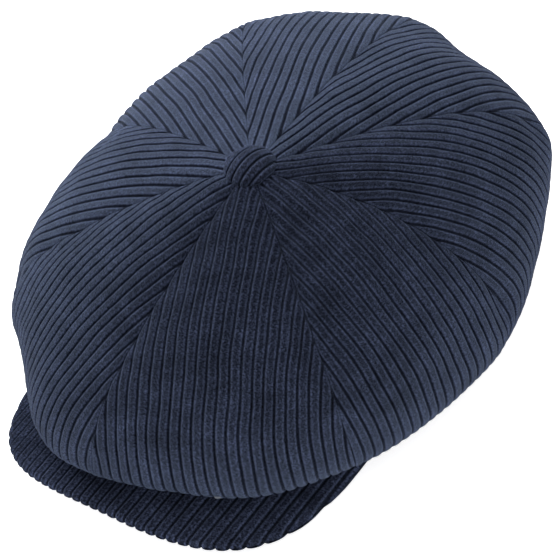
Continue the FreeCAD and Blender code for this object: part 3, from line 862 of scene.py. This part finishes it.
def corduroy_material(name, painted_brightness):
    """Matt cotton pile: tufts in slanting rows, painted shade in the grooves, a painted sheen on the wales'
    shoulders, uneven mottling.
    """
    material, tree, shader = new_material(
        name, Roughness=0.95, Sheen_Weight=0.16, Sheen_Roughness=0.30,
        Sheen_Tint=(0.50, 0.66, 1.0, 1.0), Specular_IOR_Level=0.04)
    place = add(tree, "TexCoord").outputs["Object"]
    fabric, slanting = cloth_place(tree, (1.0, 0.6, 0.0), math.radians(52.0))
    height = add(tree, "SeparateXYZ", {0: fabric}).outputs["Z"]
    tufts = noise_factor(tree, slanting, 1350.0, 0.05, 2.05, detail=2.0, roughness=0.8)
    creased = cloth_place(tree, (0.22, 1.0, 0.0))[1]
    mottle = product(tree, noise_factor(tree, place, 60.0, 0.74, 1.30, detail=4.0),
                     noise_factor(tree, creased, 150.0, 0.82, 1.2, detail=3.0))
    frayed = noise_factor(tree, place, 900.0, -0.10, 0.10, detail=2.0)
    uneven = add(tree, "Math", {0: height, 1: frayed}, operation="ADD").outputs["Value"]
    # Painted shade: the colour darkens down into the grooves between the wales and into the seam ditches
    groove = add(tree, "MapRange", {"Value": uneven, "From Min": 0.08, "From Max": 0.62,
                                    "To Min": 0.68, "To Max": 1.0}).outputs["Result"]
    # Painted sheen: the upper walls of each wale, below its flat top, are lightened in the colour
    climb = add(tree, "MapRange", {"Value": uneven, "From Min": 0.35, "From Max": 0.65,
                                   "To Min": 0.0, "To Max": 1.0}).outputs["Result"]
    level = add(tree, "MapRange", {"Value": uneven, "From Min": 0.88, "From Max": 1.0,
                                   "To Min": SHOULDER_PAINTED_SHEEN, "To Max": 0.0}).outputs["Result"]
    shoulder = add(tree, "Math", {0: product(tree, climb, level), 1: 1.0}, operation="ADD").outputs["Value"]
    brightness = product(tree, product(tree, tufts, mottle), product(tree, groove, shoulder))
    nap = add(tree, "TexNoise", {"Vector": slanting, "Scale": 1700.0, "Detail": 3.0, "Roughness": 0.8})
    # Painted light and shade: the dye is lightened for the visor's copy and darkened for the button's
    dye = tuple(painted_brightness * part for part in CORDUROY_DYE)
    return finish_material(material, tree, shader, dye, brightness, nap.outputs["Fac"], 1.0, 0.0007)


def satin_material():
    """Thin near-black lining: warp threads with a soft shine, and slight creasing."""
    material, tree, shader = new_material(
        "lining_satin", Roughness=0.38, Specular_IOR_Level=0.5, Anisotropic=0.4)
    place = add(tree, "TexCoord").outputs["Object"]
    warp = cloth_place(tree, (1.0, 0.06, 0.0))[1]
    streaks = noise_factor(tree, warp, 2600.0, 0.75, 1.25)
    mottle = noise_factor(tree, place, 60.0, 0.85, 1.15, detail=3.0)
    threads_height = add(tree, "TexNoise", {"Vector": warp, "Scale": 2600.0, "Detail": 2.0}).outputs["Fac"]
    return finish_material(material, tree, shader, (0.012, 0.014, 0.022), product(tree, streaks, mottle),
                           threads_height, 0.5, 0.0002)


def woven_material(name, colour, rib, roughness, soft):
    """Woven cloth: ribs of one pitch crossed by finer threads, with an uneven dye."""
    material, tree, shader = new_material(name, Roughness=roughness, Sheen_Weight=soft, Sheen_Roughness=0.4,
                                          Specular_IOR_Level=0.2)
    place = add(tree, "TexCoord").outputs["Object"]
    cloth = cloth_place(tree)[1]
    ribs = add(tree, "TexWave", {"Vector": cloth, "Scale": 0.5 / rib, "Distortion": 0.6, "Detail": 1.0},
               wave_type="BANDS", bands_direction="X").outputs["Fac"]
    wefts = add(tree, "TexWave", {"Vector": cloth, "Scale": 0.9 / rib, "Distortion": 0.6, "Detail": 1.0},
                wave_type="BANDS", bands_direction="Y").outputs["Fac"]
    weave = add(tree, "Math", {0: ribs, 1: product(tree, wefts, 0.6)}, operation="ADD").outputs[0]
    shade = add(tree, "MapRange", {"Value": weave, "From Min": 0.0, "From Max": 1.6,
                                   "To Min": 0.7, "To Max": 1.15}).outputs["Result"]
    mottle = noise_factor(tree, place, 90.0, 0.86, 1.12, detail=3.0)
    return finish_material(material, tree, shader, colour, product(tree, shade, mottle), weave, 0.8, 0.0002)


def thread_material(name, colour):
    """Two-ply sewing thread: slanting plies with a faint shine."""
    material, tree, shader = new_material(name, Roughness=0.55, Specular_IOR_Level=0.35, Sheen_Weight=0.2)
    twist = cloth_place(tree, turn=math.radians(35.0))[1]
    plies = add(tree, "TexWave", {"Vector": twist, "Scale": 900.0, "Distortion": 0.4},
                wave_type="BANDS", bands_direction="X").outputs["Fac"]
    shade = add(tree, "MapRange", {"Value": plies, "From Min": 0.0, "From Max": 1.0,
                                   "To Min": 0.6, "To Max": 1.1}).outputs["Result"]
    return finish_material(material, tree, shader, colour, shade, plies, 0.7, 0.00015)


def solid_material(name, colour, grain, low, high, strength, **settings):
    """Hard material with a fine grain in its colour and surface."""
    material, tree, shader = new_material(name, **settings)
    place = add(tree, "TexCoord").outputs["Object"]
    shade = noise_factor(tree, place, grain, low, high, detail=4.0)
    wear = add(tree, "TexNoise", {"Vector": place, "Scale": grain * 2.0, "Detail": 3.0}).outputs["Fac"]
    return finish_material(material, tree, shader, colour, shade, wear, strength, 0.0001)


# ---------------------------------------------------------------- riding

def follow(piece, nodes):
    """Rides on the crown; cloth that reaches the front has its place baked into its mesh and is not
    attached.
    """
    forwards = Vector((0.0, -math.cos(FLEX_SLOPE), -math.sin(FLEX_SLOPE)))
    reach = max(v.co.dot(forwards) for v in piece.data.vertices)
    if reach > FLEX_FROM:
        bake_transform(piece)
    else:
        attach(piece, "crown")
    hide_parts(*nodes)


# ---------------------------------------------------------------- scene

def make_camera():
    azimuth = math.radians(CAMERA_AZIMUTH)
    elevation = math.radians(CAMERA_ELEVATION)
    roll = math.radians(CAMERA_ROLL)
    back = Vector((math.sin(azimuth) * math.cos(elevation), -math.cos(azimuth) * math.cos(elevation),
                   math.sin(elevation)))
    right = Vector((math.cos(azimuth), math.sin(azimuth), 0.0))
    up = back.cross(right)
    rolled_right = right * math.cos(roll) + up * math.sin(roll)
    rolled_up = up * math.cos(roll) - right * math.sin(roll)
    camera = bpy.data.objects.new("camera", bpy.data.cameras.new("camera"))
    turn = Matrix((rolled_right, rolled_up, back)).transposed().to_4x4()
    camera.matrix_world = Matrix.Translation(Vector(CAMERA_TARGET) + back * CAMERA_DISTANCE) @ turn
    camera.data.lens = CAMERA_LENS
    camera.data.clip_start = 0.01
    bpy.context.scene.collection.objects.link(camera)
    bpy.context.scene.camera = camera


def area_light(name, direction, distance, size, power):
    light = bpy.data.lights.new(name, "AREA")
    light.shape = "DISK"
    light.size = size
    light.energy = power
    made = bpy.data.objects.new(name, light)
    towards = Vector(direction).normalized()
    made.location = Vector(CAMERA_TARGET) + towards * distance
    made.rotation_euler = towards.to_track_quat("Z", "Y").to_euler()
    bpy.context.scene.collection.objects.link(made)


def make_studio():
    bpy.context.scene.view_settings.view_transform = "Standard"
    world = bpy.data.worlds.new("studio")
    bpy.context.scene.world = world
    world.use_nodes = True
    world.node_tree.nodes["Background"].inputs["Color"].default_value = (1.0, 1.0, 1.0, 1.0)
    world.node_tree.nodes["Background"].inputs["Strength"].default_value = 1.0
    area_light("key", (-0.67, 0.35, 0.76), 1.6, 1.8, 56.0)
    material, tree, shader = new_material("pale_floor", Roughness=0.9, Specular_IOR_Level=0.1,
                                          Emission_Color=(1.0, 1.0, 1.0, 1.0), Emission_Strength=0.72)
    place = add(tree, "TexCoord").outputs["Object"]
    shade = noise_factor(tree, place, 3.0, 0.90, 0.93)
    grey = add(tree, "CombineColor", {0: shade, 1: shade, 2: shade})
    tree.links.new(grey.outputs[0], shader.inputs["Base Color"])
    size = 6.0
    corners = [(-size, -size, 0.0), (size, -size, 0.0), (size, size, 0.0), (-size, size, 0.0)]
    floor = new_object("floor", corners, [(0, 1, 2, 3)], material)


# ---------------------------------------------------------------- build

def place_on(piece, body, nodes):
    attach(piece, body)
    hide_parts(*nodes)


def keep_node(name, material):
    """Gives a CAD node that stays in view its finished material."""
    mesh = frame["nodes"][name].data
    mesh.materials.clear()
    mesh.materials.append(material)


def build_crown(corduroy, satin):
    for index, name in enumerate(GORE_NAMES):
        outer, cut = crown_gore(index, corduroy)
        follow(outer, ["crown_gore_" + name])
        inner, cut = lining_gore(index, satin)
        follow(inner, ["lining_gore_" + name])


def build_visor(corduroy):
    for name, side in (("visor_top_cover", 1), ("visor_under_cover", -1)):
        cover, area = visor_cover("corduroy_" + name, side, corduroy)
        place_on(cover, "visor", [name])


def build_button(corduroy):
    cover, across = button_cover(corduroy)
    place_on(cover, "crown", ["button_cover"])
    steel = solid_material("button_steel", (0.42, 0.42, 0.43), 700.0, 0.85, 1.1, 0.3,
                           Metallic=1.0, Roughness=0.38)
    for name in ("button_shell", "button_base", "button_washer"):
        keep_node(name, steel)


def build_band(name, node, cloth, offset, thickness, low, high, wave):
    band, length = rim_strip(name, offset, thickness, low, high, wave, cloth)
    place_on(band, "crown", [node])


def build_rim():
    cotton = woven_material("sweatband_cotton", (0.016, 0.019, 0.030), 0.0009, 0.85, 0.25)
    tape = woven_material("woven_tape", (0.020, 0.022, 0.030), 0.0007, 0.85, 0.2)
    build_band("sweatband_cloth", "sweatband", cotton,
               0.0, BAND_THICKNESS, 0.0, BAND_HEIGHT, BAND_WAVE)
    build_band("rim_stay_tape", "rim_tape", tape,
               BAND_THICKNESS + TAPE_GAP, TAPE_THICKNESS, TAPE_LOW, TAPE_HIGH, 0.0)
    dark_thread = thread_material("thread", (0.020, 0.024, 0.038))
    place_on(band_stitching(dark_thread), "crown", ["sweatband_stitching"])
    paper = woven_material("label_weave", (0.42, 0.42, 0.40), 0.0005, 0.6, 0.1)
    for name, (turn, width, height, foot) in LABELS.items():
        label = inner_label(name, turn, width, height, foot, paper)
        place_on(label, "crown", [name])


def build():
    build_crown(corduroy_material("corduroy", 1.0), satin_material())
    # The visor's and the button's copies of the corduroy carry painted light and painted shade
    build_visor(corduroy_material("corduroy_with_painted_light_for_visor", VISOR_PAINTED_LIGHT))
    build_button(corduroy_material("corduroy_with_painted_shade_for_button", BUTTON_PAINTED_SHADE))
    build_rim()
    pale_thread = thread_material("light_thread", (0.10, 0.115, 0.15))
    follow(crown_tack(pale_thread), ["crown_tack_stitch"])
    board = solid_material("fibre_board", (0.16, 0.12, 0.08), 500.0, 0.7, 1.2, 0.6, Roughness=0.85)
    keep_node("visor_board", board)


build()
make_camera()
make_studio()
